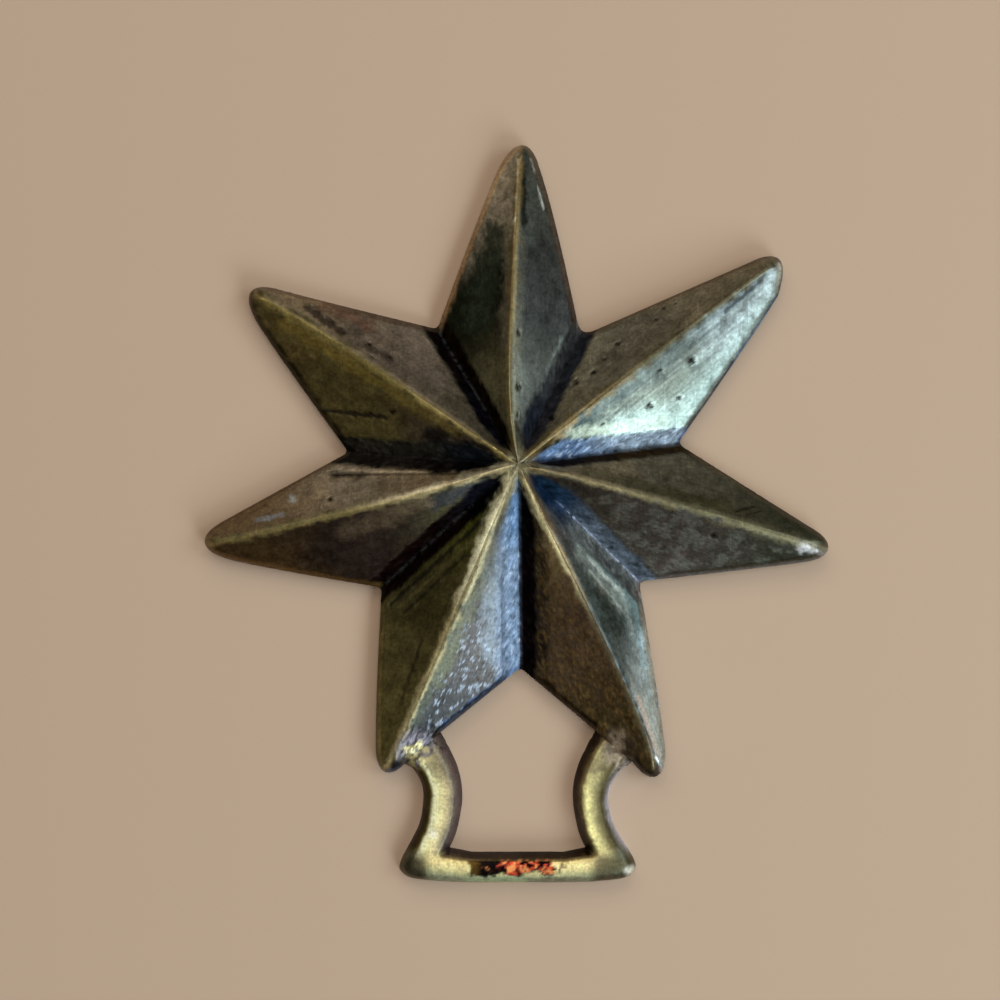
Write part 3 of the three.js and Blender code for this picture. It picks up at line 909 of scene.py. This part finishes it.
# %% Paint the loop
# part of the loop: tones from its inner edge to its outer edge. They paint the light and shade
# across its section, a bright crown between darker walls and a pale blue reflection outside the
# right arm.
LIT_ACROSS_TONES = {
    "left": [(79, 69, 73), (107, 94, 92), (138, 128, 106), (195, 182, 138), (232, 222, 166),
             (253, 245, 182), (255, 255, 205), (102, 92, 42), (47, 33, 16), (40, 30, 16)],
    "right": [(28, 16, 3), (52, 37, 17), (150, 138, 92), (238, 230, 158), (215, 206, 142),
              (150, 140, 94), (98, 88, 54), (74, 64, 37), (128, 124, 112), (190, 196, 220)],
    "bar": [(14, 10, 6), (58, 44, 22), (215, 194, 126), (245, 228, 160), (246, 229, 162),
            (214, 206, 146), (172, 172, 128), (140, 142, 112), (132, 138, 108), (124, 130, 100)],
}
SHARES = [0, 0.14, 0.25, 0.36, 0.47, 0.6, 0.71, 0.79, 0.9, 1]


def across(part):
    tones = np.array([tone(*row) for row in LIT_ACROSS_TONES[part]])
    share = loop_share + 0.025 * mottle + 0.015 * dust
    return np.stack([np.interp(share, SHARES, tones[:, k]) for k in range(3)], -1)


on_bar = smooth(-46.2, -48.2, y)
# the loop's oxide, with painted light and shade across its section
loop_colour_and_light = mix(mix(across("left"), across("right"), smooth(-1, 1, x)), across("bar"), on_bar)
ears = on_bar * np.maximum(smooth(10.0, 11.8, -x), smooth(8.2, 10.0, x))
lay(loop_colour_and_light, tone(66, 59, 40), 0.85 * ears)
green = on_bar * smooth(0.66, 0.78, loop_share) * smooth(-7, -5.5, x) * (1 - smooth(0, 1.5, x))
lay(loop_colour_and_light, tone(168, 184, 140), 0.7 * green)
root_side = smooth(-40, -36.5, y) * smooth(0.22, 0.34, loop_share)
lay(loop_colour_and_light, tone(92, 82, 62), 0.75 * root_side * (loop_share < 0.62 + 0.1 * mottle))
dulled = on_bar * smooth(0, 0.3, mottle) * smooth(0.65, 0.8, loop_share) * (x > 1)
lay(loop_colour_and_light, tone(106, 94, 70), 0.45 * dulled)
print("mean tone of the loop:", loop_colour_and_light[on_loop].mean(0).round(3))

# %% Stain the bar
ragged = 1.6 * mottle + 0.6 * dust
in_stain = on_bar * smooth(-5.6, -4.6, x + ragged) * (1 - smooth(4.2, 5.2, x + ragged))
in_stain = in_stain * smooth(-50.0, -49.6, y + 0.35 * ragged) * smooth(0.14, 0.22, loop_share)
ember = smooth(-2.7, -1.6, x + ragged) * smooth(-49.7, -49.4, y + 0.3 * ragged)
stain = mix(BLACK, tone(204, 66, 30), smooth(-0.22, 0.06, dust))
lay(stain, tone(232, 148, 84), smooth(0.2, 0.4, dust))
scorch = mix(tone(22, 17, 16), tone(84, 62, 22), smooth(-4.2, -5.2, x))
lay(loop_colour_and_light, mix(scorch, stain, ember), in_stain)
# two painted highlights, on the right ear of the bar and on the left arm
glints = 0.9 * spot((13.7, -49.4), 1.1) + 0.8 * spot((-10.2, -44.8), 0.9)
lay(loop_colour_and_light, tone(250, 248, 230), glints)
loop_colour_and_light = loop_colour_and_light * (1 + 0.12 * mottle + 0.12 * dust)[:, None]
lay(colour, loop_colour_and_light, on_loop)
print("stained points:", int((on_loop * in_stain > 0.5).sum()))

# %% Paint the roots, the walls and the back
rubbed = smooth(-0.2, 0.3, mottle - 0.25 * (y + 34.6))
lumps = mix(tone(104, 98, 104), tone(214, 202, 142), rubbed)
lay(lumps, BLACK, 0.8 * smooth(0.25, 0.4, dust))
crust = mix(tone(158, 142, 118), tone(84, 68, 52), smooth(-0.15, 0.25, mottle + 0.5 * dust))
lay(crust, tone(40, 24, 10), smooth(12.6, 13.6, x))
root_gap = distance_to_joints(plan, (0, -1.2))
at_root = (1 - smooth(1.4, 3.0, root_gap + 0.5 * mottle)) * (on_star | on_loop)
root_tone = np.where((x < 0)[:, None], lumps, crust)
lay(colour, root_tone, 0.85 * at_root * (loop_share > 0.16))
# the walls of the halves that face the window get a painted blue reflection
wall_tone = mix(tone(74, 58, 42) * (1 + 0.3 * mottle)[:, None], tone(48, 62, 88), 0.5 * window_lit_halves)
colour[walls] = wall_tone[walls]
damp = smooth(0.1, 0.6, noise_at(3.0, 14, 3))
back = tone(132, 104, 62) * (1 + 0.35 * mottle + 0.3 * cloud + 0.2 * dust)[:, None]
lay(back, tone(84, 104, 78), 0.5 * damp)
lay(colour, back, on_back)
rough = np.where(on_loop, 0.46, rough + 0.25 * in_groove + 0.2 * speckles - 0.06 * on_ridge)
rough = np.where(on_back | walls, 0.58, rough)
bare = 1 - 0.2 * speckles - 0.5 * on_ridge
bare = np.where(on_loop, 1 - 0.55 * smooth(0.02, 0.25, loop_colour_and_light[:, 0]), bare) - 0.4 * at_root
bare = np.where(on_back, 0.5, bare)
print("mean tone:", colour.mean(0).round(3))

# %% Store the layers
def store(obj, name, values):
    layer = obj.data.color_attributes.new(name=name, type="FLOAT_COLOR", domain="POINT")
    values = np.column_stack([values, np.ones(len(values))])
    layer.data.foreach_set("color", values.astype(np.float32).ravel())


store(star, "patina_and_light", colour.clip(0.001, 0.95))
grain = 0.25 + 0.5 * in_groove * on_star + 0.75 * hammered + 0.3 * on_loop + 0.5 * on_back
store(star, "surface", np.column_stack([rough.clip(0.1, 0.9), grain.clip(0, 1), bare.clip(0, 1)]))
print("layers:", [layer.name for layer in star.data.color_attributes])

# %% [markdown]
# ## Into the shared frame
#
# Everything so far was modelled in millimetres round the hub, where the numbers are easy to read.
# The shared frame is in metres and the hub stands a little off its middle, so the points are
# scaled and shifted once. The object itself stays at the origin. Faces that meet at less than 50
# degrees are shaded smoothly, so the flanks look even while the lips of the grooves stay crisp.

# %% Put it in the frame
brass = star
brass.name = brass.data.name = "horse_brass_casting"
set_points(brass, points_of(brass) * MM + (hub[0], hub[1], 0))
select_only(brass)
bpy.ops.object.shade_smooth_by_angle(angle=math.radians(50))
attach(brass, "root")
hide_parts(NODE)
points = points_of(brass) / MM
print("in the frame, mm:", points.min(0).round(2), points.max(0).round(2))

# %% [markdown]
# ## The material
#
# The broad tones, stains and painted light are on the points already. What is too fine for the
# points comes from nodes: a speckle, a broader tarnish that also changes how shiny the metal is,
# and hair scratches left by a polishing cloth. They multiply the painted tones. Speckle and
# scratches also raise a very small bump, strongest where the surface layer asks for grain.

# %% Brass material
material = bpy.data.materials.new("worn_brass")
material.use_nodes = True
nodes, links = material.node_tree.nodes, material.node_tree.links
shader = nodes["Principled BSDF"]


def node(kind, inputs=(), **settings):
    """Adds a node, sets its fields, and sets or links its inputs."""
    made = nodes.new(kind)
    for key, value in settings.items():
        setattr(made, key, value)
    for key, value in dict(inputs).items():
        if isinstance(value, bpy.types.NodeSocket):
            links.new(value, made.inputs[key])
        else:
            made.inputs[key].default_value = value
    return made


patina_and_light = node("ShaderNodeAttribute", attribute_name="patina_and_light")
surface = node("ShaderNodeAttribute", attribute_name="surface")
parts = node("ShaderNodeSeparateColor", {"Color": surface.outputs["Color"]})
place = node("ShaderNodeTexCoord").outputs["Object"]
print("material nodes so far:", len(nodes))

# %% Fine speckle, scratches and grain
def texture(scale, detail, roughness=0.5, vector=place):
    inputs = {"Vector": vector, "Scale": scale, "Detail": detail, "Roughness": roughness}
    return node("ShaderNodeTexNoise", inputs).outputs["Fac"]


def spread(value, low, high, to_low, to_high):
    """Stretches a noise value to a range of its own."""
    limits = {"From Min": low, "From Max": high, "To Min": to_low, "To Max": to_high}
    return node("ShaderNodeMapRange", {"Value": value, **limits}).outputs["Result"]


def combine(operation, a, b, kind="ShaderNodeMath", **settings):
    return node(kind, {0: a, 1: b}, operation=operation, **settings).outputs[0]


speckle, tarnish = texture(2600, 3, 0.6), texture(700, 5, 0.65)
turned = node("ShaderNodeMapping", {"Vector": place, "Rotation": (0, 0, math.radians(35)),
                                    "Scale": (4500, 300, 300)})
scratch = texture(1, 2, vector=turned.outputs["Vector"])
shade = combine("MULTIPLY", spread(speckle, 0.3, 0.7, 0.72, 1.28), spread(tarnish, 0.3, 0.7, 0.8, 1.2))
shade = combine("MULTIPLY", shade, spread(scratch, 0.6, 0.72, 1, 1.3))
grain_height = combine("MULTIPLY", combine("ADD", speckle, scratch), parts.outputs["Green"])
bump = node("ShaderNodeBump", {"Height": grain_height, "Strength": 0.6, "Distance": 0.03 * MM})
dull = spread(tarnish, 0.3, 0.7, -0.06, 0.08)
fields = {
    "Base Color": combine("MULTIPLY", patina_and_light.outputs["Color"], shade, "ShaderNodeVectorMath"),
    "Roughness": combine("ADD", parts.outputs["Red"], dull, use_clamp=True),
    "Metallic": parts.outputs["Blue"],
    "Normal": bump.outputs["Normal"],
}
for field, value in fields.items():
    links.new(value, shader.inputs[field])
brass.data.materials.clear()
brass.data.materials.append(material)
print("material nodes:", len(nodes))

# %% [markdown]
# ## Camera, floor and light
#
# The brass lies on a table and the camera looks straight down from 28 cm, which keeps the tall hub
# from leaning. The lens is long enough for the star and its loop to fill most of the square.
# The floor is plain and pale, so that nothing competes with the metal.

# %% Camera
CAMERA_PLACE = (-2.0 * MM, 1.76 * MM, 280 * MM)
bpy.ops.object.camera_add(location=CAMERA_PLACE, rotation=(0, 0, 0))
camera = bpy.context.object
camera.data.lens = 82.4
camera.data.clip_start = 0.01
bpy.context.scene.camera = camera
print("camera at", [round(v, 3) for v in camera.location])

# %% Floor
bpy.ops.mesh.primitive_plane_add(size=3, location=(0, 0, 0))
floor = bpy.context.object
floor.name = "floor"
floor_material = bpy.data.materials.new("pale_floor")
floor_material.use_nodes = True
floor_shader = floor_material.node_tree.nodes["Principled BSDF"]
floor_shader.inputs["Base Color"].default_value = (0.52, 0.38, 0.27, 1)
floor_shader.inputs["Roughness"].default_value = 0.9
floor.data.materials.append(floor_material)
print("floor at z", floor.location.z)

# %% [markdown]
# Metal shows the room more than itself. A large cool panel low on the lower right plays the window
# and lights the two flanks that face it, a weaker one on the right keeps their neighbours from
# going black, and two warm panels above give the dull brass its colour. Big panels close to a small
# object make soft gradients, which is what reads as hand-worn metal.

# %% Lights
def panel(name, azimuth, elevation, distance, size, power, colour):
    """A soft panel that faces the brass. Its azimuth is anticlockwise from +X, in degrees."""
    a, e = math.radians(azimuth), math.radians(elevation)
    place = distance * np.array([math.cos(a) * math.cos(e), math.sin(a) * math.cos(e), math.sin(e)])
    bpy.ops.object.light_add(type="AREA", location=place)
    light = bpy.context.object
    light.name = name
    light.data.shape = "RECTANGLE"
    light.data.size, light.data.size_y = size
    light.data.energy = power
    light.data.color = colour
    light.rotation_euler = (-light.location).to_track_quat("-Z", "Y").to_euler()
    print(name, "shines with", power, "W from", distance, "m")


panel("window_side", -50, 36, 0.7, (0.34, 0.3), 2.4, (0.78, 0.9, 1.0))
panel("right_side", 8, 42, 0.7, (0.4, 0.3), 1.8, (0.74, 0.9, 1.0))
panel("top_side", 100, 45, 0.8, (0.9, 0.4), 2.2, (1.0, 0.9, 0.8))
panel("overhead", 90, 84, 1.0, (0.4, 0.4), 2.2, (1.0, 0.96, 0.9))
bpy.context.scene.view_settings.view_transform = "Standard"
world = bpy.data.worlds.new("World")
bpy.context.scene.world = world
world.use_nodes = True
background = world.node_tree.nodes["Background"].inputs
background["Color"].default_value = (0.5, 0.42, 0.36, 1)
background["Strength"].default_value = 0.25
